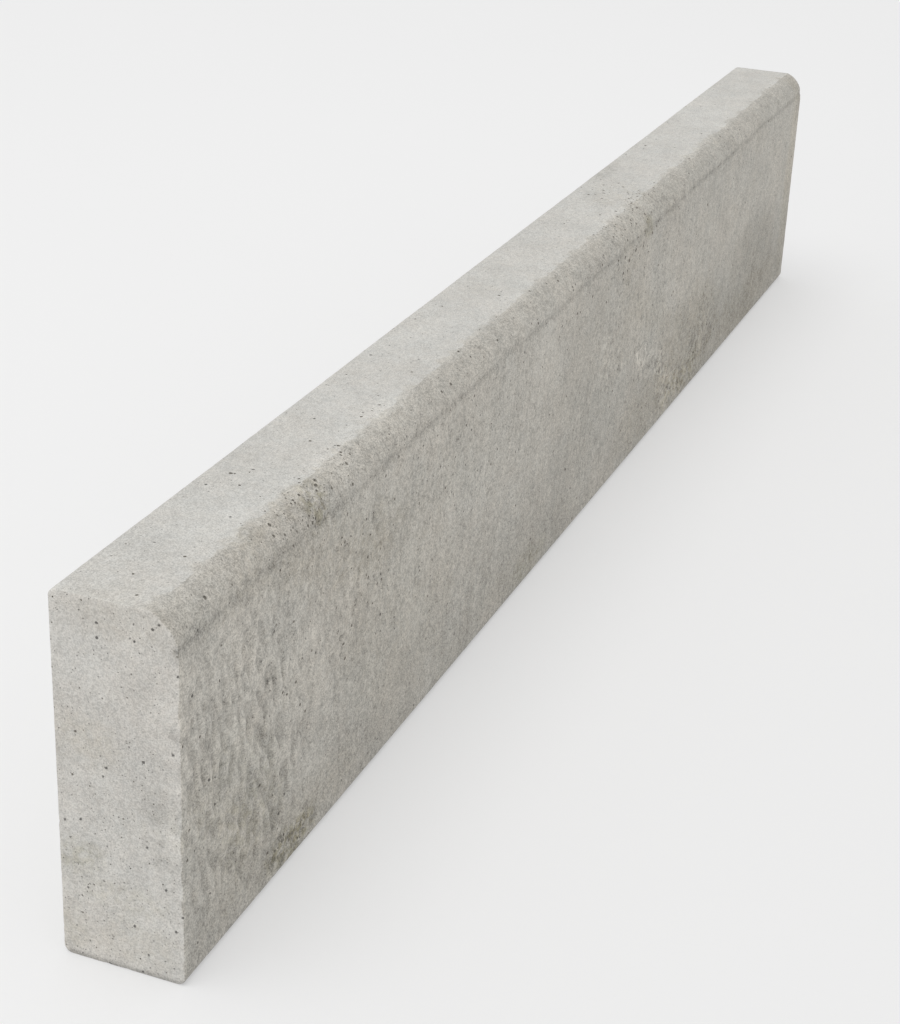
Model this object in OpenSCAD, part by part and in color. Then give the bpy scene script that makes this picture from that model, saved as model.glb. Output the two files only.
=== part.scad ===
// Narrow kerb stone of cast concrete, made in one piece.
//
// It stands on its bed face. X runs along the stone, Y across it from the road face (-Y) to the
// back face (+Y), and Z up. The origin is on the bed face, under the middle of the stone.
// All sizes are in millimetres.

/* [Stone] */
// Length from end to end
kerb_length = 915; // [300:5:1200]
// Height from the bed face to the top
kerb_height = 150; // [80:1:400]
// Width from the road face to the back face
kerb_width = 50; // [30:1:200]

/* [Rounded road edge] */
// Radius of the rounding, which runs smoothly into the road face
nose_radius = 16; // [12:0.5:30]
// How far back from the road face the rounding meets the top, at a soft crease
nose_back = 11; // [4:0.5:12]

/* [Small arrises] */
// Radius along the top edge at the back
top_arris = 3; // [0.5:0.5:6]
// Radius along the two bottom edges
bed_arris = 3.5; // [0.5:0.5:8]

/* [Hidden] */
$fn = 96;
CONCRETE = [0.78, 0.77, 0.74];
// How far a corner cutter stands outside the faces that it trims
CLEAR = 2;
// How far down the road face the rounding ends, so that its arc reaches the top at nose_back
nose_drop = sqrt(pow(nose_radius, 2) - pow(nose_radius - nose_back, 2));

// What an arc takes off a square corner. The corner is at the origin, and the stone and the
// arc's centre are on its +x, +y side.
module corner_waste(centre, radius) {
    difference() {
        translate([-CLEAR, -CLEAR])
            square(centre + [CLEAR, CLEAR]);
        translate(centre)
            circle(radius);
    }
}

// What a quarter round takes off a square corner
module arris_waste(radius) {
    corner_waste([radius, radius], radius);
}

// Cross-section of the stone: x from the road face to the back face, y up from the bed face
module section() {
    difference() {
        translate([-kerb_width / 2, 0])
            square([kerb_width, kerb_height]);
        translate([-kerb_width / 2, kerb_height])
            mirror([0, 1])
                corner_waste([nose_radius, nose_drop], nose_radius);
        translate([kerb_width / 2, kerb_height])
            rotate(180)
                arris_waste(top_arris);
        for (side = [0, 1])
            mirror([side, 0])
                translate([-kerb_width / 2, 0])
                    arris_waste(bed_arris);
    }
}

module kerb_stone() {
    color(CONCRETE)
        rotate([90, 0, 90])
            linear_extrude(kerb_length, center = true)
                section();
}

kerb_stone();
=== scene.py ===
"""Narrow kerb stone of cast concrete, with its cast skin, air pores and weathering.

The frame is the CAD's: X along the stone, Y from the road face (-Y) to the back face (+Y), and
Z up from the bed face. Blender's lengths are metres. Places and sizes on a face are written in
millimetres, and Patch and Pore turn them into metres.
"""
import logging
import math
from collections.abc import Iterable, Mapping, Sequence
from dataclasses import dataclass
from enum import Enum
from functools import cached_property

import bmesh
import bpy
from mathutils import Matrix, Vector


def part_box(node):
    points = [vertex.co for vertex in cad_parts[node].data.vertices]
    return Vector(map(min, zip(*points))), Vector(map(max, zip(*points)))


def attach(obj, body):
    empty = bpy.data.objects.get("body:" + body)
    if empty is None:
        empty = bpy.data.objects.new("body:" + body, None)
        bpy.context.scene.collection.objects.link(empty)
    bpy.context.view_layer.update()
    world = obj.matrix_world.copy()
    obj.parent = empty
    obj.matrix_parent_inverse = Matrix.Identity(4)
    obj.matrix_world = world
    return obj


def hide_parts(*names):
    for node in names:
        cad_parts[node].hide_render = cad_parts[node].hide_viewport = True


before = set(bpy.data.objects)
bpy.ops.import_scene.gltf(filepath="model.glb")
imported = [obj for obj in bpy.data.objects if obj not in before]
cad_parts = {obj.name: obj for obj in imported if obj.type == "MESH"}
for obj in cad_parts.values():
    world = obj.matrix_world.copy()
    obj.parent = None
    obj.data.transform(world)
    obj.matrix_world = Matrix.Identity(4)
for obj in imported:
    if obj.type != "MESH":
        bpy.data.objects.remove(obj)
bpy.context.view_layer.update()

LOG = logging.getLogger("kerb_stone")
NODE = "kerb_stone"
PIECE = "kerb_stone_cast"
BODY = "root"
# a millimetre in metres, a length next to nothing, and the mean of every noise
MM = 0.001
TINY = 1e-7
NOISE_MEAN = 0.5
FULL_TURN = 6.28
WHITE = (1.0, 1.0, 1.0)
Colour = tuple[float, float, float]


# --------------------------------------------------------------------------- node wiring
class Signal:
    """A value that flows through a node tree. Arithmetic on it adds the nodes for it."""

    def __init__(self, wiring: "Wiring", socket: bpy.types.NodeSocket) -> None:
        """Keeps the tree's wiring and the socket that the value comes from."""
        self.wiring = wiring
        self.socket = socket

    def __add__(self, other: "Operand") -> "Signal":
        """Sum of two numbers."""
        return self.wiring.math("ADD", self, other)

    def __radd__(self, other: "Operand") -> "Signal":
        """Sum of two numbers."""
        return self.wiring.math("ADD", other, self)

    def __sub__(self, other: "Operand") -> "Signal":
        """Difference of two numbers."""
        return self.wiring.math("SUBTRACT", self, other)

    def __rsub__(self, other: "Operand") -> "Signal":
        """Difference of two numbers."""
        return self.wiring.math("SUBTRACT", other, self)

    def __mul__(self, other: "Operand") -> "Signal":
        """Product of two numbers."""
        return self.wiring.math("MULTIPLY", self, other)

    def __truediv__(self, other: "Operand") -> "Signal":
        """Quotient of two numbers."""
        return self.wiring.math("DIVIDE", self, other)

    def __pow__(self, other: "Operand") -> "Signal":
        """Power of a number."""
        return self.wiring.math("POWER", self, other)

    def __abs__(self) -> "Signal":
        """Size of a number without its sign."""
        return self.wiring.math("ABSOLUTE", self)


Operand = Signal | float | tuple[float, ...] | Vector


@dataclass(frozen=True)
class Port:
    """A named input or output of a node tree.

    Attributes:
        name: the socket's name.
        kind: the socket's Blender type.
        default: the value an input has when nothing feeds it.
    """

    name: str
    kind: str = "NodeSocketFloat"
    default: object = None


class Wiring:
    """Lays and links the nodes of one tree. It serves geometry and shader trees alike."""

    NOISE_ROUGHNESS = 0.55
    SEED_STEP = (1.37, 2.11, 0.73)

    def __init__(self, tree: bpy.types.NodeTree) -> None:
        """Keeps the tree that the nodes go into."""
        self.tree = tree
        self.entry: bpy.types.Node | None = None

    @classmethod
    def fresh(cls, kind: str, name: str, takes: Sequence[Port], gives: Sequence[Port]) -> "Wiring":
        """Makes a new tree with named inputs and outputs.

        Args:
            kind: the Blender type of the tree.
            name: the tree's name.
            takes: its inputs.
            gives: its outputs.

        Returns:
            The wiring of the new tree.
        """
        tree = bpy.data.node_groups.new(name, kind)
        for ports, side in ((takes, "INPUT"), (gives, "OUTPUT")):
            for port in ports:
                socket = tree.interface.new_socket(
                    port.name, in_out=side, socket_type=port.kind)
                if port.default is not None:
                    socket.default_value = port.default
        wiring = cls(tree)
        wiring.entry = tree.nodes.new("NodeGroupInput")
        return wiring

    @staticmethod
    def pick(sockets: Sequence[bpy.types.NodeSocket], key: str | int) -> bpy.types.NodeSocket:
        """Finds a socket by its place, its identifier or its name.

        Args:
            sockets: a node's inputs or outputs.
            key: the place, identifier or name.

        Returns:
            The socket.
        """
        if isinstance(key, int):
            return sockets[key]
        for socket in sockets:
            if socket.identifier == key:
                return socket
        return next(s for s in sockets if s.name == key and s.enabled)

    def feed(self, socket: bpy.types.NodeSocket, value: Operand | object) -> None:
        """Links a signal to a socket, or sets the socket to a plain value.

        Args:
            socket: the input socket.
            value: a signal, number, vector, material or other plain value, or None to leave it.
        """
        if isinstance(value, Signal):
            self.tree.links.new(value.socket, socket)
        elif value is not None:
            socket.default_value = value

    def node(self, kind: str, settings: Mapping[str, object] | None = None,
             inputs: Mapping[str | int, object] | None = None) -> bpy.types.Node:
        """Adds a node.

        Args:
            kind: the Blender type of the node.
            settings: values for the node's own properties.
            inputs: what feeds its input sockets, by place, identifier or name.

        Returns:
            The node.
        """
        made = self.tree.nodes.new(kind)
        for name, value in (settings or {}).items():
            setattr(made, name, value)
        for key, value in (inputs or {}).items():
            self.feed(self.pick(made.inputs, key), value)
        return made

    def out(self, node: bpy.types.Node, key: str | int = 0) -> Signal:
        """The signal from one of a node's outputs."""
        return Signal(self, self.pick(node.outputs, key))

    def get(self, kind: str, settings: Mapping[str, object] | None = None,
            inputs: Mapping[str | int, object] | None = None, key: str | int = 0) -> Signal:
        """Adds a node, as node does, and returns one of its outputs."""
        return self.out(self.node(kind, settings, inputs), key)

    def given(self, name: str) -> Signal:
        """The signal from one of the tree's own inputs."""
        return self.out(self.entry, name)

    def deliver(self, **results: Signal) -> None:
        """Feeds the tree's outputs, each by its name."""
        self.node("NodeGroupOutput", None, results)

    def math(self, operation: str, *operands: Operand) -> Signal:
        """Adds a Math node and returns its result."""
        return self.get("ShaderNodeMath", {"operation": operation}, dict(enumerate(operands)))

    def low(self, *operands: Operand) -> Signal:
        """The least of some numbers.

        Args:
            operands: the numbers.

        Returns:
            The least.
        """
        least = operands[0]
        for other in operands[1:]:
            least = self.math("MINIMUM", least, other)
        return least

    def high(self, *operands: Operand) -> Signal:
        """The greatest of some numbers.

        Args:
            operands: the numbers.

        Returns:
            The greatest.
        """
        most = operands[0]
        for other in operands[1:]:
            most = self.math("MAXIMUM", most, other)
        return most

    def vector(self, operation: str, *operands: Operand) -> Signal:
        """Adds a Vector Math node.

        Args:
            operation: what it does.
            operands: what feeds its inputs, in order.

        Returns:
            Its result, which is a number for a dot product or a length.
        """
        node = self.node("ShaderNodeVectorMath", {"operation": operation})
        sockets = [s for s in node.inputs if s.enabled]
        for socket, operand in zip(sockets, operands):
            self.feed(socket, operand)
        return self.out(node, 1 if operation in {"DOT_PRODUCT", "LENGTH"} else 0)

    def join(self, x: Operand, y: Operand, z: Operand) -> Signal:
        """A vector from its three numbers."""
        return self.get("ShaderNodeCombineXYZ", None, {"X": x, "Y": y, "Z": z})

    def split(self, vector: Signal) -> tuple[Signal, Signal, Signal]:
        """The three numbers of a vector."""
        node = self.node("ShaderNodeSeparateXYZ", None, {0: vector})
        return self.out(node, 0), self.out(node, 1), self.out(node, 2)

    def ramp(self, value: Operand, start: Operand, end: Operand, low: Operand = 0.0,
             high: Operand = 1.0) -> Signal:
        """A smooth rise from low to high while the value goes from start to end.

        Args:
            value: what drives the rise.
            start: the value at which it starts.
            end: the value at which it ends, above start.
            low: the result up to start.
            high: the result from end on.

        Returns:
            The result.
        """
        return self.get(
            "ShaderNodeMapRange", {"interpolation_type": "SMOOTHSTEP"},
            {"Value": value, "From Min": start, "From Max": end, "To Min": low, "To Max": high})

    def noise(self, place: Signal, size: Operand, seed: int, detail: Operand = 1.0,
              stretch: tuple[float, float, float] = (1.0, 1.0, 1.0)) -> Signal:
        """Smooth noise from 0 to 1, with a mean of one half.

        Args:
            place: the position to read it at.
            size: how far apart its lumps are.
            seed: tells one noise from another.
            detail: how many finer layers it has.
            stretch: how much finer it is along each axis.

        Returns:
            The noise.
        """
        apart = tuple(seed * step for step in self.SEED_STEP)
        moved = self.vector("MULTIPLY_ADD", place, stretch, apart)
        rate = self.math("DIVIDE", 1.0, size) if isinstance(size, Signal) else 1.0 / size
        return self.get(
            "ShaderNodeTexNoise", {"noise_dimensions": "3D"},
            {"Vector": moved, "Scale": rate, "Detail": detail, "Roughness": self.NOISE_ROUGHNESS})

    def blend(self, start: Colour, end: Colour, share: Signal) -> Signal:
        """A colour between two: start at share 0, and end at share 1."""
        step = tuple(e - s for s, e in zip(start, end))
        return self.vector("ADD", self.vector("SCALE", step, share), start)

    def group(self, tree: bpy.types.NodeTree, **inputs: Operand) -> bpy.types.Node:
        """Adds a shader group to this tree.

        Args:
            tree: the group's tree.
            inputs: what feeds it, each by its name.

        Returns:
            The group's node.
        """
        return self.node("ShaderNodeGroup", {"node_tree": tree}, inputs)


class Recipe(Wiring):
    """The wiring of a geometry tree, which a piece follows as a modifier."""

    @classmethod
    def start(cls, name: str, takes: Iterable[str]) -> "Recipe":
        """Makes a new geometry tree that gives a mesh.

        Args:
            name: the tree's name.
            takes: the names of the numbers that it takes beside a mesh.

        Returns:
            The wiring of the new tree.
        """
        mesh = Port("Geometry", "NodeSocketGeometry")
        return cls.fresh("GeometryNodeTree", name, [mesh, *(Port(n) for n in takes)], [mesh])

    def position(self) -> Signal:
        """Where each point is."""
        return self.get("GeometryNodeInputPosition")

    def normal(self) -> Signal:
        """Which way the surface faces at each point."""
        return self.get("GeometryNodeInputNormal")

    def store(self, mesh: Signal, name: str, value: Signal) -> Signal:
        """Keeps a number on each point of a mesh.

        Args:
            mesh: the mesh.
            name: the attribute's name.
            value: the number.

        Returns:
            The mesh.
        """
        return self.get(
            "GeometryNodeStoreNamedAttribute", {"data_type": "FLOAT", "domain": "POINT"},
            {"Geometry": mesh, "Name": name, "Value": value})

    def kept(self, name: str) -> Signal:
        """A number that store kept."""
        return self.get("GeometryNodeInputNamedAttribute", {"data_type": "FLOAT"}, {"Name": name},
                        "Attribute")

    def move(self, mesh: Signal, place: Signal | None = None, shift: Signal | None = None) -> Signal:
        """Moves a mesh's points.

        Args:
            mesh: the mesh.
            place: where they go, if they go to a place.
            shift: how far they move, if they move by a distance.

        Returns:
            The mesh.
        """
        return self.get("GeometryNodeSetPosition", None, {
            "Geometry": mesh, "Position": place, "Offset": shift})

    def random(self, low: float, high: float, seed: int) -> Signal:
        """A random number for each point.

        Args:
            low: its least value.
            high: its greatest value.
            seed: tells one from another.

        Returns:
            The number.
        """
        return self.get("FunctionNodeRandomValue", {"data_type": "FLOAT"}, {
            "Min_001": low, "Max_001": high, "Seed": seed}, "Value_001")

    def paint(self, mesh: Signal, material: bpy.types.Material, only: Signal | None = None) -> Signal:
        """Gives a mesh a material.

        Args:
            mesh: the mesh.
            material: the material.
            only: which faces get it, if not all.

        Returns:
            The mesh.
        """
        return self.get("GeometryNodeSetMaterial", None, {
            "Geometry": mesh, "Selection": only, "Material": material})

    def realize(self, mesh: Signal) -> Signal:
        """Makes a mesh's instances real."""
        return self.get("GeometryNodeRealizeInstances", None, {"Geometry": mesh})

    def apply(self, piece: bpy.types.Object, values: Mapping[str, float]) -> None:
        """Adds this tree to a piece as a modifier and sets its named inputs.

        Args:
            piece: the object.
            values: a value for each named input.
        """
        modifier = piece.modifiers.new(self.tree.name, "NODES")
        modifier.node_group = self.tree
        for item in self.tree.interface.items_tree:
            if item.item_type == "SOCKET" and item.in_out == "INPUT" and item.name in values:
                modifier[item.identifier] = values[item.name]


def add_object(name: str, data: bpy.types.ID) -> bpy.types.Object:
    """Makes an object of a mesh, light or camera, and puts it in the scene.

    Args:
        name: the object's name.
        data: the mesh, light or camera.

    Returns:
        The object.
    """
    made = bpy.data.objects.new(name, data)
    bpy.context.scene.collection.objects.link(made)
    return made


# --------------------------------------------------------------------------- places on the stone
class Face(Enum):
    """A face of the stone: its along axis, its across axis and its outward direction."""

    ROAD = ((1, 0, 0), (0, 0, 1), (0, -1, 0))
    BACK = ((1, 0, 0), (0, 0, 1), (0, 1, 0))
    TOP = ((1, 0, 0), (0, 1, 0), (0, 0, 1))
    LEFT_END = ((0, -1, 0), (0, 0, 1), (-1, 0, 0))
    RIGHT_END = ((0, -1, 0), (0, 0, 1), (1, 0, 0))

    def spot(self, size: Vector, along: float, across: float) -> Vector:
        """The point of the face at some distance along and across it.

        Args:
            size: the stone's length, width and height.
            along: millimetres from where the along axis starts.
            across: millimetres from where the across axis starts.

        Returns:
            The point, in metres.
        """
        along_axis, across_axis, outward = (Vector(axis) for axis in self.value)
        half = size / 2
        corner = Vector()
        for axis, reach in ((along_axis, -1), (across_axis, -1), (outward, 1)):
            corner += Vector(a * h * reach for a, h in zip(axis, half))
        middle = Vector((0, 0, half.z))
        return middle + corner + (along_axis * along + across_axis * across) * MM


@dataclass(frozen=True)
class Patch:
    """A soft-edged oval stretch of the stone's surface. Its sizes are in millimetres.

    Attributes:
        face: the face that it lies on.
        along: its middle, along the face.
        across: its middle, across the face.
        long: half its length.
        wide: half its width.
        strength: how much it counts at its middle.
        soft: how wide its edge is, as a share of its size.
        lean: how far its length is turned from the along axis, in degrees.
        ragged: how far noise moves its edge, as a share of its size.
    """

    face: Face
    along: float
    across: float
    long: float
    wide: float
    strength: float = 1.0
    soft: float = 0.5
    lean: float = 0.0
    ragged: float = 0.6

    DEPTH = 16.0

    def axes(self) -> tuple[Vector, Vector, Vector]:
        """Finds its own axes.

        Returns:
            The axes along, across and outwards, each divided by its reach, in metres.
        """
        along_axis, across_axis, outward = (Vector(axis) for axis in self.face.value)
        turn = math.radians(self.lean)
        length = along_axis * math.cos(turn) + across_axis * math.sin(turn)
        width = across_axis * math.cos(turn) - along_axis * math.sin(turn)
        return length / (self.long * MM), width / (self.wide * MM), outward / (self.DEPTH * MM)

    def mask(self, skin: "CastSkin") -> Signal:
        """Its mask.

        Args:
            skin: the skin that it lies on.

        Returns:
            The mask, from 0 to its strength.
        """
        wiring = skin.wiring
        middle = self.face.spot(skin.size, self.along, self.across)
        offset = wiring.vector("SUBTRACT", skin.place, middle)
        parts = [wiring.vector("DOT_PRODUCT", offset, axis) for axis in self.axes()]
        reach = wiring.vector("LENGTH", wiring.join(*parts))
        reach = reach + (skin.rag - NOISE_MEAN) * (2 * self.ragged)
        return wiring.ramp(reach, 1 - self.soft, 1 + self.soft, self.strength, 0.0)


def patches(face: Face, *rows: tuple[float, ...]) -> tuple[Patch, ...]:
    """Patches on one face, from rows that hold a patch's numbers in order, from along on."""
    return tuple(Patch(face, *row) for row in rows)


@dataclass(frozen=True)
class Pore:
    """One of the larger air pores. Its sizes are in millimetres.

    Attributes:
        face: the face that it lies on.
        along: its middle, along the face.
        across: its middle, across the face.
        width: how wide it is.
    """

    face: Face
    along: float
    across: float
    width: float


# --------------------------------------------------------------------------- relief of the skin
class Mark(Enum):
    """A kind of relief that the mould or the weather left in the skin, and where it lies."""

    RIPPLE = patches(
        Face.ROAD,
        (36, 74, 42, 54), (62, 40, 30, 24, 0.8, 0.6), (120, 84, 70, 50, 0.4, 0.6),
        (480, 62, 80, 30, 0.2, 0.7),
    )
    POCKED = (
        *patches(
            Face.ROAD,
            (457, 80, 560, 120, 0.45, 0.2, 0, 0.1), (120, 105, 130, 46, 0.6, 0.6),
            (270, 100, 110, 40, 0.4, 0.7), (520, 110, 80, 54, 0.6, 0.7),
            (640, 32, 90, 44, 0.7, 0.7),
        ),
        *patches(Face.TOP, (130, 26, 100, 18, 0.2, 0.6), (545, 30, 70, 18, 0.2, 0.6)),
        *patches(Face.ROAD, (88, 9, 24, 9)),
        *patches(Face.BACK, (457, 75, 440, 60, 0.3)),
        *patches(Face.LEFT_END, (8, 30, 14, 26, 0.5, 0.6), (40, 66, 12, 18, 0.5, 0.6)),
    )
    CRUST = patches(
        Face.ROAD,
        (88, 9, 24, 9), (114, 145, 13, 12, 0.7), (480, 82, 26, 11, 0.7, 0.5, -30),
        (564, 50, 50, 10, 0.8, 0.5, -28), (596, 30, 22, 12, 1.0, 0.5, -50), (640, 14, 46, 11),
        (682, 32, 30, 18, 0.6), (290, 38, 50, 12, 0.4),
    )


@dataclass(frozen=True)
class CastSkin:
    """The relief of the cast skin at a place. The mesh is moved by it, and the finish paints shade and
    light by it.

    Attributes:
        place: the position, in a geometry or shader tree.
        size: the stone's length, width and height.
        joint_height: how high the rounding meets the road face.
        crease_back: how far back from the road face the rounding meets the top.
    """

    place: Signal
    size: Vector
    joint_height: float
    crease_back: float

    JOINT_LIFT = 2.2 * MM
    JOINT_SWAY = 3.0 * MM
    JOINT_SHAKE = 2.0 * MM
    JOINT_REACH = 3.0 * MM
    RIPPLE_LEAN = 12.0
    RIPPLE_WIDTH = 4.4
    RIPPLE_LENGTH = 11.5
    EDGE_REACH = 4.5 * MM
    CREASE_REACH = 4.5 * MM
    SPILL_REACH = 9 * MM
    SPILL_MOST = 0.8

    @property
    def wiring(self) -> Wiring:
        """The tree's wiring."""
        return self.place.wiring

    @property
    def left(self) -> float:
        """Where the left end is on X."""
        return -self.size.x / 2

    @property
    def front(self) -> float:
        """Where the road face is on Y."""
        return -self.size.y / 2

    @cached_property
    def numbers(self) -> tuple[Signal, Signal, Signal]:
        """The place's three numbers."""
        return self.wiring.split(self.place)

    @cached_property
    def rag(self) -> Signal:
        """The noise that makes patches ragged."""
        return self.noise(15, 11, detail=3.0)

    def noise(self, size: float, seed: int, detail: float = 1.0,
              stretch: tuple[float, float, float] = (1.0, 1.0, 1.0)) -> Signal:
        """The wiring's noise at the place, with its size in millimetres."""
        return self.wiring.noise(self.place, size * MM, seed, detail, stretch)

    def cover(self, over: Iterable[Patch]) -> Signal:
        """How strongly some patches together cover the place.

        Args:
            over: the patches.

        Returns:
            The cover, from 0 to 1.
        """
        total: Signal | float = 0.0
        for patch in over:
            total = patch.mask(self) + total
        return self.wiring.low(total, 1.0)

    def joint(self) -> Signal:
        """The shallow, wavering hollow where the rounding meets the road face.

        Returns:
            A mask that is greatest in the middle of the hollow.
        """
        ramp = self.wiring.ramp
        x, y, z = self.numbers
        slow = self.noise(45, 21, stretch=(1.0, 0.0, 0.0))
        quick = self.noise(8, 22, detail=2.0)
        wild = ramp(x, self.left + 60 * MM, self.left + 160 * MM, 2.2, 1.0)
        sway = (slow - NOISE_MEAN) * self.JOINT_SWAY + (quick - NOISE_MEAN) * self.JOINT_SHAKE
        off = abs(z - (sway * wild + (self.joint_height + self.JOINT_LIFT)))
        narrow = ramp(off, 0.0, 1.4 * MM + quick * (1.2 * MM), 1.0, 0.0)
        broad = ramp(off, 0.0, (slow + 1.0) * self.JOINT_REACH * (wild * 0.5 + 0.5), 1.0, 0.0)
        near_front = ramp(y, self.front + 1.2 * MM, self.front + 3 * MM, 1.0, 0.0)
        return (narrow * 0.5 + broad * (wild * 0.25 + 0.2)) * near_front * (quick * 0.9 + 0.45)

    def ripple(self) -> Signal:
        """Small leaning ridges that the mould's lining left.

        Returns:
            Their height, from 0 to 1.
        """
        wiring = self.wiring
        lean = math.radians(self.RIPPLE_LEAN)
        across = wiring.vector("DOT_PRODUCT", self.place, (math.cos(lean), 0, math.sin(lean)))
        along = wiring.vector("DOT_PRODUCT", self.place, (math.sin(lean), 0, -math.cos(lean)))
        bent = wiring.join(across / self.RIPPLE_WIDTH, 0.0, along / self.RIPPLE_LENGTH)
        return wiring.ramp(wiring.noise(bent, 1 * MM, 54, detail=0.4), 0.37, 0.61)

    def pocks(self) -> Signal:
        """The depth, from 0 to 1, of ragged little pocks where the cement skin pulled away."""
        return self.wiring.ramp(self.noise(3.6, 55, detail=3.0), 0.52, 0.70)

    def crust(self) -> Signal:
        """The height, from 0 to 1, of thin crumbly crusts."""
        return self.wiring.ramp(self.noise(4.2, 56, detail=2.5), 0.40, 0.62)

    def edge_gap(self) -> Signal:
        """How far the place is from the nearest edge of the stone's box.

        Returns:
            The distance.
        """
        x, y, z = self.numbers
        gaps = (self.size.x / 2 - abs(x), self.size.y / 2 - abs(y),
                self.wiring.low(z, self.size.z - z))
        return gaps[0] + gaps[1] + gaps[2] - self.wiring.high(*gaps)

    def worn_and_lit_edges(self) -> Signal:
        """A mask of the stone's edges, ragged and narrow: 1 on an edge, which the finish lightens for
        wear and a painted highlight.
        """
        reach = self.noise(7, 31, detail=2.0) * self.EDGE_REACH
        return self.wiring.ramp(self.edge_gap(), 0.0, reach, 1.0, 0.0)

    def behind_crease(self) -> Signal:
        """How far back the place is from the crease between the rounding and the top."""
        return self.numbers[1] - (self.crease_back + self.front)

    def crease_gap(self) -> Signal:
        """How far the place is from the crease."""
        return abs(self.behind_crease()) + abs(self.size.z - self.numbers[2])

    def crease_wear(self) -> Signal:
        """Shallow bites out of the crease between the rounding and the top.

        Returns:
            Their depth, from 0 to 1.
        """
        ramp = self.wiring.ramp
        bites = ramp(self.noise(9, 33, detail=2.0), 0.44, 0.70)
        near_left = ramp(self.numbers[0], self.left + 130 * MM, self.left + 260 * MM, 1.0, 0.35)
        return ramp(self.crease_gap(), 0.0, self.CREASE_REACH, 1.0, 0.0) * bites * near_left

    def spill(self) -> Signal:
        """How far the road side's tint, its weathering and painted shade, spills over the crease onto
        the top, raggedly.

        Returns:
            The mask, from 0 to SPILL_MOST.
        """
        ramp = self.wiring.ramp
        reach = ramp(self.noise(11, 34, detail=3.0), 0.42, 0.68, 0.3 * MM, self.SPILL_REACH)
        return ramp(self.behind_crease(), 0.0, reach, self.SPILL_MOST, 0.0)


# --------------------------------------------------------------------------- shared shader groups
class Effects:
    """The shader groups that more than one material uses, or that one uses many times."""

    def __init__(self) -> None:
        """Builds each group once."""
        self._clouds = self._make_clouds()
        self._sand = self._make_sand()
        self._pores = self._make_pores()

    @staticmethod
    def _make_clouds() -> bpy.types.NodeTree:
        """Slow, cloudy changes of tone.

        Returns:
            The group. Its Tone goes from about -1 to 1.
        """
        wiring = Wiring.fresh(
            "ShaderNodeTree", "clouds",
            [Port("Place", "NodeSocketVector"), Port("Size", default=0.1), Port("Detail", default=3.0)],
            [Port("Tone")])
        given = wiring.given
        lumps = wiring.noise(given("Place"), given("Size"), 0, given("Detail"))
        wiring.deliver(Tone=wiring.ramp(lumps, 0.28, 0.72, -1.0, 1.0))
        return wiring.tree

    @staticmethod
    def _make_sand() -> bpy.types.NodeTree:
        """Sand grains in the cement skin: pale and dark grains of two sizes.

        Returns:
            The group. Its Tone goes from about -1 to 1, and its Height from 0 to 1.
        """
        wiring = Wiring.fresh(
            "ShaderNodeTree", "sand_grain",
            [Port("Place", "NodeSocketVector"), Port("Grain", default=0.0009)],
            [Port("Tone"), Port("Height")])
        place = wiring.given("Place")
        coarse = wiring.noise(place, wiring.given("Grain") * 2.8, 3)
        fine = wiring.noise(place, wiring.given("Grain"), 5)
        both = coarse * 0.3 + fine * 0.7
        wiring.deliver(Tone=wiring.ramp(both, 0.33, 0.67, -1.0, 1.0), Height=both)
        return wiring.tree

    @staticmethod
    def _make_pores() -> bpy.types.NodeTree:
        """Pinhead air pores too small to cut, each of its own size.

        Returns:
            The group. Its Mask is 1 in a pore.
        """
        wiring = Wiring.fresh(
            "ShaderNodeTree", "pin_pores",
            [Port("Place", "NodeSocketVector"), Port("Spacing", default=0.004),
             Port("Width", default=0.0009), Port("Share", default=0.5)],
            [Port("Mask")])
        spacing = wiring.given("Spacing")
        cells = wiring.node("ShaderNodeTexVoronoi", {"feature": "F1"}, {
            "Vector": wiring.given("Place"), "Scale": wiring.math("DIVIDE", 1.0, spacing)})
        chance = wiring.split(wiring.out(cells, "Color"))[0]
        grown = wiring.ramp(chance, 1 - wiring.given("Share"), 1.0)
        reach = wiring.given("Width") * 0.5 / spacing * grown
        wiring.deliver(Mask=wiring.ramp(
            wiring.out(cells, "Distance"), reach * 0.55, reach + 0.01, 1.0, 0.0))
        return wiring.tree

    def clouds(self, place: Signal, size: float, detail: float = 3.0) -> Signal:
        """Cloudy changes of tone.

        Args:
            place: the position, in a material.
            size: how far apart the clouds are.
            detail: how many finer layers they have.

        Returns:
            The tone, from about -1 to 1.
        """
        wiring = place.wiring
        return wiring.out(wiring.group(self._clouds, Place=place, Size=size, Detail=detail))

    def sand(self, place: Signal, grain: float) -> tuple[Signal, Signal]:
        """The sand's tone, from about -1 to 1, and its height, from 0 to 1."""
        node = place.wiring.group(self._sand, Place=place, Grain=grain)
        return place.wiring.out(node, "Tone"), place.wiring.out(node, "Height")

    def pores(self, place: Signal, spacing: float, width: float, share: Operand) -> Signal:
        """Pinhead pores.

        Args:
            place: the position, in a material.
            spacing: how far apart they are.
            width: how wide the widest are.
            share: how many of the possible ones there are.

        Returns:
            A mask that is 1 in a pore.
        """
        wiring = place.wiring
        return wiring.out(wiring.group(
            self._pores, Place=place, Spacing=spacing, Width=width, Share=share))


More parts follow.
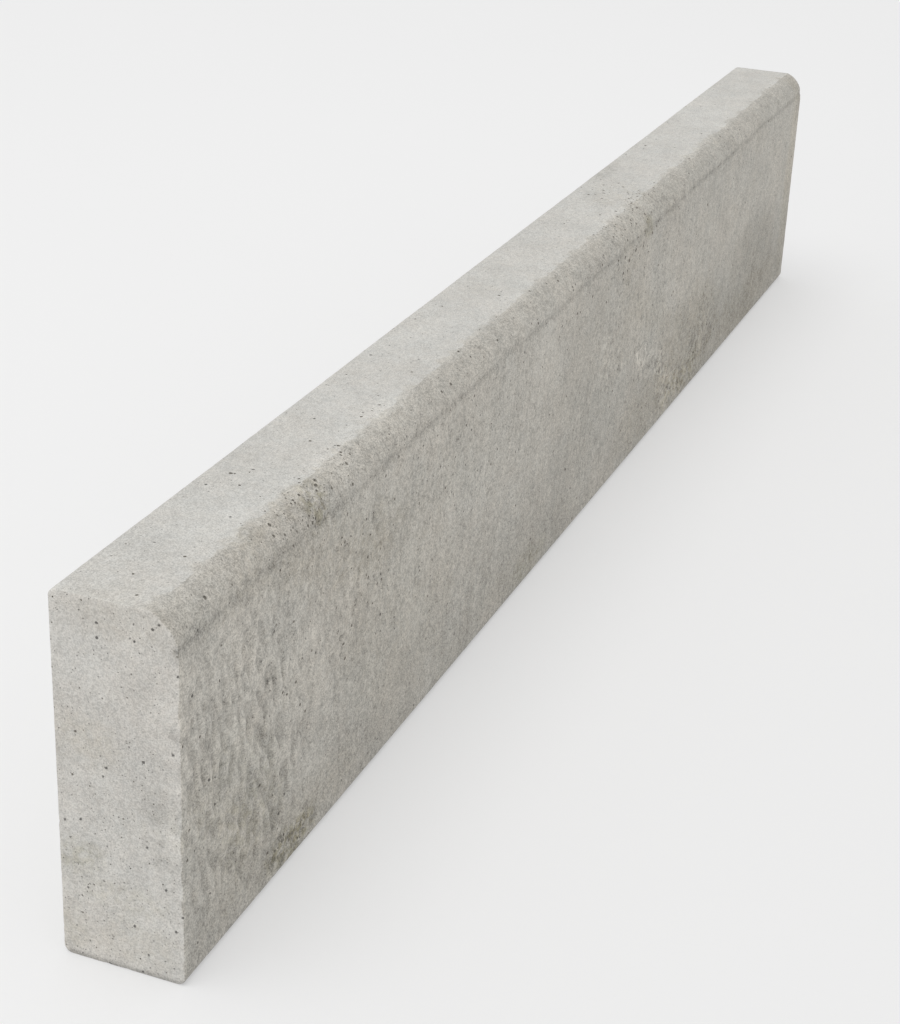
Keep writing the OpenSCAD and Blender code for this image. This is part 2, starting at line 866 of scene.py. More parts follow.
# --------------------------------------------------------------------------- finishes
class Dressing(Wiring):
    """The wiring of a new material, whose nodes feed one main shader."""

    def __init__(self, name: str, colour: Colour, roughness: float) -> None:
        """Makes the material.

        Args:
            name: its name.
            colour: its plain colour.
            roughness: its roughness.
        """
        self.material = bpy.data.materials.new(name)
        self.material.use_nodes = True
        self.material.diffuse_color = (*colour, 1.0)
        super().__init__(self.material.node_tree)
        self.shader = self.tree.nodes["Principled BSDF"]
        self.place = self.get("ShaderNodeTexCoord", key="Object")
        self.wear("Roughness", roughness)

    def wear(self, name: str, value: object) -> None:
        """Feeds one of the main shader's inputs."""
        self.feed(self.shader.inputs[name], value)

    def emboss(self, height: Signal) -> None:
        """Gives the surface a bump of some height, in metres."""
        self.wear("Normal", self.get("ShaderNodeBump", None, {
            "Strength": 1.0, "Distance": 1.0, "Height": height}))


class Tone(Enum):
    """What a stain multiplies the concrete's colour by."""

    DARK = (0.80, 0.80, 0.79)
    BROWN = (0.84, 0.81, 0.75)
    OLIVE = (0.62, 0.60, 0.47)
    PALE = (1.13, 1.13, 1.13)
    TAN = (0.97, 0.92, 0.82)


@dataclass(frozen=True)
class Stain(Patch):
    """A patch of another tone.

    Attributes:
        broken: how far fine noise breaks it up, from 0 to 1.
    """

    broken: float = 0.4


def stains(face: Face, *rows: tuple[float, ...]) -> tuple[Stain, ...]:
    """Stains of one tone on one face.

    Args:
        face: the face.
        rows: along, across, long, wide, strength, broken and, if it leans, lean of each stain.

    Returns:
        The stains.
    """
    return tuple(
        Stain(face, *row[:5], broken=row[5], lean=row[6] if len(row) > 6 else 0.0)
        for row in rows)


STAINS = {
    Tone.DARK: (
        *stains(
            Face.ROAD,
            (235, 108, 88, 20, 0.35, 0.7), (450, 84, 70, 44, 0.35, 0.5),
            (795, 34, 84, 34, 0.85, 0.5),
        ),
        *stains(
            Face.TOP,
            (134, 34, 48, 16, 0.15, 0.8), (30, 34, 26, 12, 0.25, 0.9), (383, 30, 28, 18, 0.3, 0.6),
            (597, 46, 24, 5, 0.8, 0.7),
        ),
        *stains(Face.LEFT_END, (40, 66, 12, 16, 0.35, 0.7)),
        *stains(Face.BACK, (430, 84, 110, 24, 0.25, 0.6, -12)),
        *stains(Face.RIGHT_END, (12, 112, 14, 20, 0.3, 0.6)),
    ),
    Tone.BROWN: (
        *stains(
            Face.ROAD,
            (130, 118, 60, 14, 0.45, 0.6, -14), (190, 60, 60, 42, 0.3, 0.5, -20),
            (80, 18, 60, 12, 0.35, 0.5), (38, 138, 30, 7, 0.22, 0.6), (340, 14, 90, 10, 0.2, 0.5),
            (515, 132, 30, 14, 0.3, 0.6), (590, 142, 24, 8, 0.12, 0.4),
            (548, 88, 60, 13, 0.35, 0.6, -28), (560, 22, 44, 18, 0.5, 0.5),
            (655, 36, 58, 30, 0.7, 0.6), (800, 16, 90, 16, 0.55, 0.5),
        ),
        *stains(
            Face.TOP,
            (66, 9, 14, 6, 0.4, 0.9), (108, 8, 22, 6, 0.4, 0.9), (550, 24, 24, 16, 0.35, 0.9),
        ),
        *stains(
            Face.LEFT_END,
            (12, 92, 15, 10, 0.45, 0.6), (30, 144, 22, 8, 0.3, 0.4), (30, 12, 16, 10, 0.4, 0.5),
        ),
        *stains(Face.BACK, (150, 38, 90, 26, 0.35, 0.5), (640, 22, 110, 14, 0.4, 0.6)),
        *stains(Face.RIGHT_END, (32, 52, 16, 30, 0.35, 0.5)),
    ),
    Tone.OLIVE: (
        *stains(
            Face.ROAD,
            (34, 62, 34, 22, 0.17, 0.9), (55, 38, 24, 14, 0.3, 0.9), (88, 9, 22, 8, 0.8, 0.9),
            (113, 143, 7, 9, 0.65, 1.0, -50), (360, 11, 22, 8, 0.4, 0.8),
            (543, 138, 8, 6, 0.55, 0.6), (650, 13, 46, 9, 0.45, 1.0),
        ),
        *stains(
            Face.LEFT_END,
            (7, 44, 9, 7, 0.4, 0.7), (2, 14, 8, 9, 0.2, 0.6), (26, 31, 20, 6, 0.2, 0.8),
        ),
    ),
    Tone.PALE: (
        *stains(
            Face.ROAD,
            (100, 86, 30, 14, 0.45, 0.4), (30, 118, 22, 16, 0.3, 0.4), (255, 35, 16, 9, 0.5, 0.7),
            (319, 45, 7, 6, 0.6, 0.4), (480, 82, 26, 10, 0.5, 0.8, -30),
            (564, 50, 50, 9, 0.65, 0.6, -28), (596, 30, 22, 9, 0.9, 0.8, -50),
            (640, 14, 42, 8, 0.9, 0.9),
        ),
        *stains(
            Face.TOP,
            (76, 20, 13, 8, 0.6, 0.4), (690, 30, 120, 20, 0.3, 0.3), (165, 12, 60, 9, 0.6, 0.3),
            (505, 9, 66, 8, 0.65, 0.3), (660, 9, 50, 7, 0.35, 0.3),
        ),
        *stains(
            Face.LEFT_END,
            (21, 48, 9, 10, 0.5, 0.4), (47, 72, 3, 20, 0.7, 0.4), (14, 64, 8, 9, 0.4, 0.2),
        ),
        *stains(Face.BACK, (300, 118, 60, 16, 0.35, 0.5), (775, 98, 66, 28, 0.3, 0.5)),
    ),
    Tone.TAN: stains(Face.ROAD, (903, 75, 11, 80, 0.4, 0.5)),
}


@dataclass(frozen=True)
class Surface:
    """A place on the stone, as its concrete sees it.

    Attributes:
        effects: the shared shader groups.
        skin: the skin's relief there.
        facing: how far it faces the road, from -1 to 1.
        at_end: 1 on the two ends, else 0.
        roadside: 1 on the road side, which is weathered and painted darker for shade, else 0.
        pitted: how far the skin is pocked there.
    """

    effects: Effects
    skin: CastSkin
    facing: Signal
    at_end: Signal
    roadside: Signal
    pitted: Signal

    @classmethod
    def at(cls, effects: Effects, skin: CastSkin) -> "Surface":
        """Finds which side of the stone a place is on.

        Args:
            effects: the shared shader groups.
            skin: the skin's relief there.

        Returns:
            The surface.
        """
        wiring = skin.wiring
        out_x, out_y, _ = wiring.split(wiring.get("ShaderNodeNewGeometry", key="Normal"))
        facing = out_y * -1
        at_end = wiring.ramp(abs(out_x), 0.5, 0.9)
        roadside = wiring.high(wiring.ramp(facing, 0.1, 0.5), skin.spill() - at_end)
        return cls(effects, skin, facing, at_end, roadside, skin.cover(Mark.POCKED.value))


@dataclass(frozen=True)
class Layer:
    """A layer of clouds in the concrete's tone.

    Attributes:
        size: how far apart its clouds are, in millimetres.
        detail: how many finer layers it has.
        everywhere: how much it counts all over.
        roadside: how much more it counts on the road side.
        ends: how much more it counts on the two ends.
        shift: how far its pattern is moved, so that it isn't another layer's.
        stretch: how much finer it is along each axis.
    """

    size: float
    detail: float
    everywhere: float = 0.0
    roadside: float = 0.0
    ends: float = 0.0
    shift: tuple[float, float, float] = (0.0, 0.0, 0.0)
    stretch: tuple[float, float, float] = (1.0, 1.0, 1.0)

    def tone(self, surface: Surface) -> Signal:
        """Its clouds at a place, from about -1 to 1."""
        place = surface.skin.wiring.vector("MULTIPLY_ADD", surface.skin.place, self.stretch, self.shift)
        return surface.effects.clouds(place, self.size * MM, self.detail)

    def shade(self, surface: Surface) -> Signal:
        """What it adds to the shade at a place."""
        weight = surface.roadside * self.roadside + surface.at_end * self.ends + self.everywhere
        return self.tone(surface) * weight


@dataclass(frozen=True)
class ConcreteFinish:
    """Cast concrete: a pale cement skin with sand in it, cloudy, stained and worn, with painted shade
    and light.

    Attributes:
        name: the material's name.
        colour: the colour of clean concrete.
        warm: what the warm clouds multiply it by.
        cool: what the cool clouds multiply it by.
        roadside: what the road side multiplies it by: its weathering, and painted shade on the side
            turned from the light.
        ends: what the two ends multiply it by.
        roughness: the mean roughness.
        uneven: how much the roughness changes over the surface.
        patch_size: how far apart the rough and smooth places are.
        lightness: how light it is before its clouds, grime and painted shade.
        grain: how far apart its sand grains are.
        sand_height: how far they stand out.
        sand_tone: how much they change its tone.
        roadside_sand: how much more they do on the road side.
        end_sand: how much less they do on the two ends.
        wear_and_highlight: how much lighter its edges are: wear, and a painted highlight.
        nose_weathering_and_shade: how much darker the rounding is: weathering, and painted shade where
            it turns from the light.
        foot_grime_and_shade: how dark the foot of the road side is: grime, and painted shade from the
            floor.
        foot_reach: how high up that goes.
        contact_shade: how dark the painted contact shadow is where it meets the ground.
        contact_shade_reach: how high up that goes.
        ripple_shading: how dark the painted shade between its ripples is, and how light the painted
            light on them.
        pock_shade: how dark the painted shade in its pocks is.
        crust_shading: how dark the painted shade between its crusts is, and how light the painted light
            on them.
        joint_shade: how dark the painted shade in the hollow below the rounding is.
        crumb: how far apart the crumbs are that break up its stains, in millimetres.
        swirl: how far apart the bends are that make its pin pores ragged.
        swirl_reach: how far they bend a pin pore.
        pitted_share: how many more pin pores there are where the skin is pocked.
    """

    name: str = "cast_concrete"
    colour: Colour = (0.559, 0.549, 0.523)
    warm: Colour = (1.012, 1.0, 0.978)
    cool: Colour = (0.996, 1.0, 0.992)
    roadside: Colour = (0.866, 0.845, 0.811)
    ends: Colour = (0.975, 0.964, 0.958)
    roughness: float = 0.88
    uneven: float = 0.04
    patch_size: float = 25 * MM
    lightness: float = 1.05
    grain: float = 0.65 * MM
    sand_height: float = 0.6 * MM
    sand_tone: float = 0.175
    roadside_sand: float = 0.07
    end_sand: float = 0.025
    wear_and_highlight: float = 0.04
    nose_weathering_and_shade: float = 0.08
    foot_grime_and_shade: float = 0.18
    foot_reach: float = 100 * MM
    contact_shade: float = 0.4
    contact_shade_reach: float = 3 * MM
    ripple_shading: float = 0.21
    pock_shade: float = 0.22
    crust_shading: float = 0.3
    joint_shade: float = 0.2
    crumb: float = 3.2
    swirl: float = 0.8 * MM
    swirl_reach: float = 0.9 * MM
    pitted_share: float = 0.3

    APART = (0.4, 5.1, 2.2)
    TINT_APART = (3.1, 0.7, 1.9)
    SHADES = (
        Layer(95, 3.0, everywhere=0.035),
        Layer(17, 4.0, everywhere=0.045, roadside=0.02, ends=0.025),
        Layer(5, 3.0, everywhere=0.025, roadside=0.03, ends=0.015, shift=APART),
        Layer(2.2, 2.0, everywhere=0.012, roadside=0.02, shift=APART),
        Layer(4, 2.0, roadside=0.035, stretch=(1.0, 1.0, 0.08)),
    )
    TINTS = (
        (Layer(38, 2.0, shift=TINT_APART), 0.5),
        (Layer(3.6, 3.0, shift=TINT_APART), 0.45),
    )
    # for each size of pin pore, its spacing and width in millimetres, the share of them that there
    # are, how dark their painted shade is, and how much darker it is on the two ends
    PIN_PORES = ((1.5, 0.6, 0.4, 0.45, 0.2), (2.6, 0.95, 0.33, 0.6, 0.0), (5.2, 1.6, 0.3, 0.75, 0.0))

    def build(self, effects: Effects, stone: "KerbStone") -> bpy.types.Material:
        """Makes the material.

        Args:
            effects: the shared shader groups.
            stone: the stone that it dresses, for its sizes.

        Returns:
            The material.
        """
        dressing = Dressing(self.name, self.colour, self.roughness)
        surface = Surface.at(effects, stone.skin(dressing.place))
        tone, height = effects.sand(dressing.place, self.grain)
        sandy = surface.roadside * self.roadside_sand + self.sand_tone
        shade = self._shade(surface) + tone * (sandy - surface.at_end * self.end_sand)
        # lighter edges for wear and a painted highlight, less the painted shade and light of the relief
        shade = shade + surface.skin.worn_and_lit_edges() * self.wear_and_highlight - self._relief_shading(surface)
        colour = dressing.vector("SCALE", self._tint(surface), shade)
        colour = self._stained(surface, colour)
        dressing.wear("Base Color", dressing.vector("SCALE", colour, 1 - self._pin_pores(surface)))
        rough = effects.clouds(dressing.place, self.patch_size)
        dressing.wear("Roughness", rough * self.uneven + self.roughness)
        dressing.emboss(height * self.sand_height)
        return dressing.material

    def _pin_pores(self, surface: Surface) -> Signal:
        """Where pinhead pores are, painted dark for the shade in them.

        Args:
            surface: the place.

        Returns:
            What share of the light they take.
        """
        wiring, place = surface.skin.wiring, surface.skin.place
        swirl = wiring.get("ShaderNodeTexNoise", None, {
            "Vector": place, "Scale": 1 / self.swirl, "Detail": 1.0}, "Color")
        swirl = wiring.vector("SUBTRACT", swirl, (NOISE_MEAN,) * 3)
        bent = wiring.vector("ADD", place, wiring.vector("SCALE", swirl, self.swirl_reach))
        more = surface.pitted * self.pitted_share
        # painted shade in pinhead pores too small to cut
        return wiring.high(*(
            surface.effects.pores(bent, gap * MM, width * MM, more + share)
            * (surface.at_end * darker + dark)
            for gap, width, share, dark, darker in self.PIN_PORES))

    def _relief_shading(self, surface: Surface) -> Signal:
        """How much darker the hollows of the skin's relief are, and how much lighter its ridges:
        painted shade and painted light.

        Args:
            surface: the place.

        Returns:
            What comes off the shade.
        """
        skin = surface.skin
        ripple = (0.6 - skin.ripple()) * skin.cover(Mark.RIPPLE.value)
        crust = (0.5 - skin.crust()) * skin.cover(Mark.CRUST.value)
        pocked = skin.pocks() * surface.pitted
        # painted shade in the hollows of the ripples, pocks and crusts, and painted light on their
        # ridges
        shading = ripple * self.ripple_shading + pocked * self.pock_shade + crust * self.crust_shading
        # painted shade in the hollow where the rounding meets the road face
        return shading + skin.joint() * self.joint_shade

    def _shade(self, surface: Surface) -> Signal:
        """How light the concrete is, as a multiple of its mean, with its painted shade on the rounding,
        at the foot and along the ground, but for its sand and relief.

        Args:
            surface: the place.

        Returns:
            The multiple.
        """
        ramp = surface.skin.wiring.ramp
        z = surface.skin.numbers[2]
        # darker towards the foot of the road side: grime and painted shade
        foot = ramp(z, 0.0, self.foot_reach, self.foot_grime_and_shade, 0.0)
        # painted contact shadow along the ground
        contact_shade = ramp(z, 0.5 * MM, self.contact_shade_reach, self.contact_shade, 0.0)
        # painted shade and weathering on the rounding, by which way it faces
        rounding = ramp(surface.facing, 0.2, 0.45) - ramp(surface.facing, 0.8, 1.0)
        shade = self.lightness - rounding * self.nose_weathering_and_shade - foot * surface.roadside - contact_shade
        for layer in self.SHADES:
            shade = shade + layer.shade(surface)
        return shade

    def _tint(self, surface: Surface) -> Signal:
        """The concrete's colour before its shade: warm and cool clouds, and a warmer, darker road side,
        for weathering and painted shade.

        Args:
            surface: the place.

        Returns:
            The colour.
        """
        wiring = surface.skin.wiring
        warmth: Signal | float = 0.5
        for layer, weight in self.TINTS:
            warmth = layer.tone(surface) * weight + warmth
        colour = wiring.vector("MULTIPLY", wiring.blend(self.cool, self.warm, warmth), self.colour)
        # the road side is darker and warmer: weathering, and painted shade on the face turned from the
        # light
        for side, share in ((self.roadside, surface.roadside), (self.ends, surface.at_end)):
            colour = wiring.vector("MULTIPLY", colour, wiring.blend(WHITE, side, share))
        return colour

    def _stained(self, surface: Surface, colour: Signal) -> Signal:
        """Lays the stains over a colour.

        Args:
            surface: the place.
            colour: the colour without them.

        Returns:
            The colour with them.
        """
        skin = surface.skin
        wiring = skin.wiring
        crumbs = wiring.ramp(skin.noise(self.crumb, 13, detail=2.0), 0.38, 0.62)
        for tone, group in STAINS.items():
            total: Signal | float = 0.0
            for stain in group:
                total = stain.mask(skin) * (crumbs * stain.broken + (1 - stain.broken)) + total
            change = wiring.blend(WHITE, tone.value, wiring.low(total, 1.0))
            colour = wiring.vector("MULTIPLY", colour, change)
        return colour


@dataclass(frozen=True)
class PoreFinish:
    """The inside of an air pore: the same concrete, painted dark for the shade in the pore, and
    rougher.

    Attributes:
        name: the material's name.
        colour: its colour, dark for the painted shade.
        roughness: its roughness.
        grain: how far apart its sand grains are.
        sand_height: how far they stand out.
        cloud: how far apart its clouds are.
        change: how much its sand and its clouds each change its tone.
    """

    name: str = "pore_concrete"
    # dark: painted shade inside the pore
    colour: Colour = (0.26, 0.245, 0.215)
    roughness: float = 0.95
    grain: float = 0.5 * MM
    sand_height: float = 0.15 * MM
    cloud: float = 30 * MM
    change: float = 0.12

    def build(self, effects: Effects) -> bpy.types.Material:
        """Makes the material.

        Args:
            effects: the shared shader groups.

        Returns:
            The material.
        """
        dressing = Dressing(self.name, self.colour, self.roughness)
        tone, height = effects.sand(dressing.place, self.grain)
        clouds = effects.clouds(dressing.place, self.cloud)
        shade = 1 + tone * self.change + clouds * self.change
        dressing.wear("Base Color", dressing.vector("SCALE", self.colour, shade))
        dressing.emboss(height * self.sand_height)
        return dressing.material


@dataclass(frozen=True)
class FloorFinish:
    """A plain pale studio floor, lit a little from below so that shadows on it stay light.

    Attributes:
        name: the material's name.
        colour: its colour.
        roughness: its roughness.
        cloud: how far apart its clouds are.
        change: how much they change its tone.
        glow: how brightly it is lit from below.
        fading: how much weaker that light is in front of the road face.
        fade_from: where on Y the weaker light ends.
        fade_to: where on Y the full light starts.
    """

    name: str = "studio_floor"
    colour: Colour = (0.50, 0.50, 0.50)
    roughness: float = 0.9
    cloud: float = 0.6
    change: float = 0.003
    glow: float = 0.36
    fading: float = 0.04
    fade_from: float = -0.5
    fade_to: float = 0.15

    def build(self, effects: Effects) -> bpy.types.Material:
        """Makes the material.

        Args:
            effects: the shared shader groups.

        Returns:
            The material.
        """
        dressing = Dressing(self.name, self.colour, self.roughness)
        shade = 1 + effects.clouds(dressing.place, self.cloud) * self.change
        dressing.wear("Base Color", dressing.vector("SCALE", self.colour, shade))
        dressing.wear("Emission Color", (*WHITE, 1.0))
        dressing.wear("Emission Strength", dressing.ramp(
            dressing.split(dressing.place)[1], self.fade_from, self.fade_to,
            self.glow - self.fading, self.glow))
        return dressing.material


# --------------------------------------------------------------------------- the stone
@dataclass(frozen=True)
class Rows:
    """Rows of mesh cells along one side of the stone, with fine ones at both ends.

    Attributes:
        low: how many fine rows there are at the low end.
        high: how many fine rows there are at the high end.
        even: how many rows there are between them.
    """

    low: int
    high: int
    even: int

    @property
    def total(self) -> int:
        """All the rows."""
        return self.low + self.even + self.high

    def distance(self, index: Signal, whole: Operand, low: Operand, high: Operand) -> Signal:
        """How far along the side a row lies.

        Args:
            index: the row's number, from 0.
            whole: the length of the side.
            low: how much of it the fine rows at the low end take.
            high: how much of it the fine rows at the high end take.

        Returns:
            The distance from the low end.
        """
        wiring = index.wiring
        first = wiring.low(index / self.low, 1.0) * low
        between = wiring.low(wiring.high((index - self.low) / self.even, 0.0), 1.0)
        last = wiring.high((index - (self.low + self.even)) / self.high, 0.0) * high
        return first + between * (whole - low - high) + last


PORE_CLUSTERS = (
    *patches(
        Face.ROAD,
        (112, 145, 13, 11, 0.7), (96, 147, 30, 8, 0.3),
    ),
    *patches(Face.TOP, (108, 5, 36, 7, 0.25)),
    *patches(
        Face.ROAD,
        (149, 149, 16, 10, 0.5, 0.5, -25), (190, 146, 8, 10, 0.25), (250, 148, 45, 7, 0.12),
        (502, 132, 24, 16, 0.35), (545, 144, 22, 10, 0.45),
    ),
    *patches(
        Face.TOP,
        (512, 6, 20, 8, 0.35), (552, 9, 24, 9, 0.4), (556, 32, 26, 14, 0.35),
        (482, 38, 22, 9, 0.15),
    ),
    *patches(
        Face.ROAD,
        (88, 9, 22, 8), (457, 148, 460, 12, 0.025, 0.3, 0, 0.2), (225, 112, 90, 26, 0.05, 0.7),
        (110, 90, 120, 40, 0.05, 0.7), (330, 110, 150, 40, 0.03, 0.7),
    ),
    *patches(Face.TOP, (60, 24, 90, 24, 0.04, 0.7)),
    *patches(Face.LEFT_END, (7, 28, 7, 12, 0.4), (41, 66, 9, 14, 0.4)),
)
LARGE_PORES = tuple(
    Pore(face, *row) for face, rows in (
        (Face.LEFT_END, (
            (49.2, 135, 1.5), (8.7, 96, 1.15), (6.7, 78, 1.1), (13.6, 75, 0.8), (26.7, 65, 0.9),
            (20.0, 112, 0.7), (2.1, 147, 0.8), (29.0, 45, 0.7), (41.9, 42, 0.8), (8.6, 20, 0.8),
            (20.7, 12, 0.8), (31.9, 6.7, 0.8), (8.8, 35.5, 0.7), (8.6, 27.5, 0.7),
            (0.4, 119.5, 0.9))),
        (Face.ROAD, (
            (157.5, 93.5, 1.9), (157, 90.5, 1.5), (158, 82, 1.6), (179, 91, 1.3), (94, 67.5, 1.5),
            (122, 72, 1.5), (127, 94, 1.5), (40, 24, 1.3), (69, 14, 1.4), (98, 10.5, 1.7),
            (224, 33, 1.5), (497, 133, 2.6), (516, 132, 2.3), (505, 129, 2.5), (495, 124.5, 2.2),
            (496, 120.5, 2.4), (548, 133, 2.0), (441, 128, 2.0), (566, 109, 1.8), (606, 81, 1.8),
            (670, 118, 2.0), (646, 8, 2.2), (634, 12, 2.0), (675, 15, 2.2)))) for row in rows)


@dataclass
class KerbStone:
    """The kerb stone: one cast block with a rounded road edge.

    Attributes:
        size: its length, width and height.
        nose_radius: radius of the rounding, which runs smoothly into the road face.
        nose_back: how far back from the road face the rounding meets the top.
        top_arris: radius along the top edge at the back.
        bed_arris: radius along the two bottom edges.
        end_arris: radius round the two ends.
        cell: how far apart the mesh's rows are.
        triangles: about how many triangles the skin keeps, before its pores are cut.
        pores_per_area: the most small pores in a square metre.
        pore_gap: how far apart small pores are at least.
        pore_share: the share of them that there is all over.
        end_pore_share: the share that the left end has more.
        least_pore: the least radius of a small pore.
        greatest_pore: the greatest radius of a small pore.
    """

    size: Vector
    nose_radius: float = 16 * MM
    nose_back: float = 11 * MM
    top_arris: float = 3 * MM
    bed_arris: float = 3.5 * MM
    end_arris: float = 0.9 * MM
    cell: float = 1.25 * MM
    triangles: int = 120_000
    pores_per_area: float = 120_000.0
    pore_gap: float = 1.3 * MM
    pore_share: float = 0.019
    end_pore_share: float = 0.11
    least_pore: float = 0.26 * MM
    greatest_pore: float = 0.9 * MM

    NOSE_ROWS = 16
    BACK_ROWS = 4
    END_ROWS = 3
    BED_ROWS = 4
    TOP_ROWS = 24
    TOP_BAND = 20 * MM
    BED_BAND = 4 * MM
    BACK_BAND = 3.5 * MM
    WAVE_DEPTH = 0.5 * MM
    GRAIN_DEPTH = 0.16 * MM
    JOINT_DEPTH = 0.7 * MM
    RIPPLE_DEPTH = 1.25 * MM
    POCK_DEPTH = 0.4 * MM
    CRUST_DEPTH = 0.9 * MM
    CREASE_DEPTH = 0.8 * MM
    CHIP_LEAST = 0.75
    CHIP_MOST = 1.8
    LUMP_DEPTH = 0.65
    EDGE_LUMP_DEPTH = 0.22
    PORE_SEED = 7
    PORE_SEGMENTS = 6
    PORE_RINGS = 4
    PORE_POWER = 2.5
    PORE_WIDE = (0.75, 1.15)
    PORE_DEEP = (0.75, 1.1)
    END_PORE_LEAST = 0.35
    END_PORE_SPREAD = 0.65
    SHARP = 36.0
    CREASE_SHARP = 9.0
    CREASE_BAND = 1.3 * MM
    SLIVER = 0.002 * MM

    @property
    def nose_drop(self) -> float:
        """How far down the road face the rounding ends."""
        return math.sqrt(self.nose_radius ** 2 - (self.nose_radius - self.nose_back) ** 2)

    def skin(self, place: Signal) -> CastSkin:
        """The relief of its skin at a place."""
        return CastSkin(place, self.size, self.size.z - self.nose_drop, self.nose_back)

    def build(self, concrete: bpy.types.Material, inside: bpy.types.Material) -> bpy.types.Object:
        """Makes the stone's mesh.

        Args:
            concrete: the finish of its skin.
            inside: the finish of its pores.

        Returns:
            The stone, a plain mesh at the origin.
        """
        sizes = {
            "Length": self.size.x, "Width": self.size.y, "Height": self.size.z,
            "Nose Radius": self.nose_radius, "Nose Drop": self.nose_drop,
            "Top Arris": self.top_arris, "Bed Arris": self.bed_arris, "End Arris": self.end_arris}
        mould = add_object("mould", bpy.data.meshes.new("mould"))
        self._cast_recipe(concrete, sizes).apply(mould, sizes)
        skin = self._plain(mould, "skin")
        self._log("skin", skin)
        sizes = {
            "Most per Square Metre": self.pores_per_area, "Spacing": self.pore_gap,
            "Least Radius": self.least_pore, "Greatest Radius": self.greatest_pore,
            "Share": self.pore_share, "Share on Left End": self.end_pore_share}
        thinned = add_object("thinned", skin)
        thin = thinned.modifiers.new("thin", "DECIMATE")
        thin.ratio = self.triangles / sum(len(p.vertices) - 2 for p in skin.polygons)
        thin.use_collapse_triangulate = True
        self._pore_recipe(inside, sizes).apply(thinned, sizes)
        mesh = self._plain(thinned, PIECE)
        self._clean(mesh)
        for helper in (mould, thinned):
            bpy.data.objects.remove(helper)
        self._log("stone", mesh)
        return add_object(PIECE, mesh)

    def dress(self, stone: bpy.types.Object) -> None:
        """Hides the stone's CAD node and ties the stone to its body.

        Args:
            stone: the stone's object.
        """
        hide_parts(NODE)
        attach(stone, BODY)

    @staticmethod
    def _corner(p: Signal, q: Signal, radius: Signal) -> tuple[Signal, Signal]:
        """How far a quarter round moves a point of a square corner.

        Args:
            p: the point's distance from one face.
            q: its distance from the other face.
            radius: the arc's radius.

        Returns:
            How far it moves back from each face.
        """
        wiring = radius.wiring
        p = wiring.high(radius - p, 0.0)
        q = wiring.high(radius - q, 0.0)
        kept = wiring.high(p, q) / wiring.vector("LENGTH", wiring.join(p, q, 0.0))
        return p * (1 - kept), q * (1 - kept)

    @staticmethod
    def _nose(p: Signal, q: Signal, radius: Signal, drop: Signal) -> tuple[Signal, Signal]:
        """How far the rounding moves a point of the square road edge.

        Args:
            p: the point's distance from the road face.
            q: its distance from the top.
            radius: the arc's radius.
            drop: how far below the top the arc's centre is.

        Returns:
            How far it moves back from the road face, and down from the top.
        """
        wiring = radius.wiring
        p = wiring.high(radius - p, 0.0)
        q = wiring.high(drop - q, TINY)
        ray = wiring.vector("LENGTH", wiring.join(p, q, 0.0))
        arc = wiring.low(radius, drop * ray / q)
        kept = wiring.high(p / radius, q / drop) * arc / ray
        return p * (1 - kept), q * (1 - kept)

    def _cast_recipe(self, material: bpy.types.Material, sizes: Iterable[str]) -> Recipe:
        """The tree that casts the block: an even skin of cells, rounded and given its relief.

        Args:
            material: the concrete.
            sizes: the names of the sizes that it takes, from the length to the end arris.

        Returns:
            The tree's wiring.
        """
        recipe = Recipe.start("cast_block", sizes)
        length, width, height, radius, drop, top_arris, bed_arris, end_arris = (
            recipe.given(name) for name in sizes)
        even = Vector((self.size.x - 2 * self.end_arris,
                       self.size.y - self.nose_radius - self.BACK_BAND,
                       self.size.z - self.TOP_BAND - self.BED_BAND)) / self.cell
        rows = (Rows(self.END_ROWS, self.END_ROWS, round(even.x)),
                Rows(self.NOSE_ROWS, self.BACK_ROWS, round(even.y)),
                Rows(self.BED_ROWS, self.TOP_ROWS, round(even.z)))
        mesh = recipe.get("GeometryNodeMeshCube", None, {
            "Size": tuple(float(r.total) for r in rows),
            **{f"Vertices {axis}": r.total + 1 for axis, r in zip("XYZ", rows)}}, "Mesh")
        counts = [c + r.total / 2 for c, r in zip(recipe.split(recipe.position()), rows)]
        x = rows[0].distance(counts[0], length, end_arris, end_arris)
        y = rows[1].distance(counts[1], width, radius, self.BACK_BAND)
        z = rows[2].distance(counts[2], height, self.BED_BAND, self.TOP_BAND)
        rim = recipe.low(counts[1], rows[1].total - counts[1], counts[2], rows[2].total - counts[2])
        mesh = recipe.store(mesh, "on_side", recipe.math("LESS_THAN", rim, 0.5))
        mesh = recipe.store(mesh, "end_gap", recipe.low(x, length - x))
        nose = self._nose(y, height - z, radius, drop)
        back = self._corner(width - y, height - z, top_arris)
        front_bed = self._corner(y, z, bed_arris)
        back_bed = self._corner(width - y, z, bed_arris)
        mesh = recipe.move(mesh, place=recipe.join(
            x - length * 0.5,
            y - width * 0.5 + nose[0] + front_bed[0] - back[0] - back_bed[0],
            z - nose[1] - back[1] + front_bed[1] + back_bed[1]))
        mesh = recipe.move(mesh, shift=self._end_round(recipe, end_arris))
        mesh = recipe.move(mesh, shift=self._relief(recipe))
        for name in ("on_side", "end_gap"):
            mesh = recipe.get("GeometryNodeRemoveAttribute", None, {"Geometry": mesh, "Name": name})
        recipe.deliver(Geometry=recipe.paint(recipe.realize(mesh), material))
        return recipe

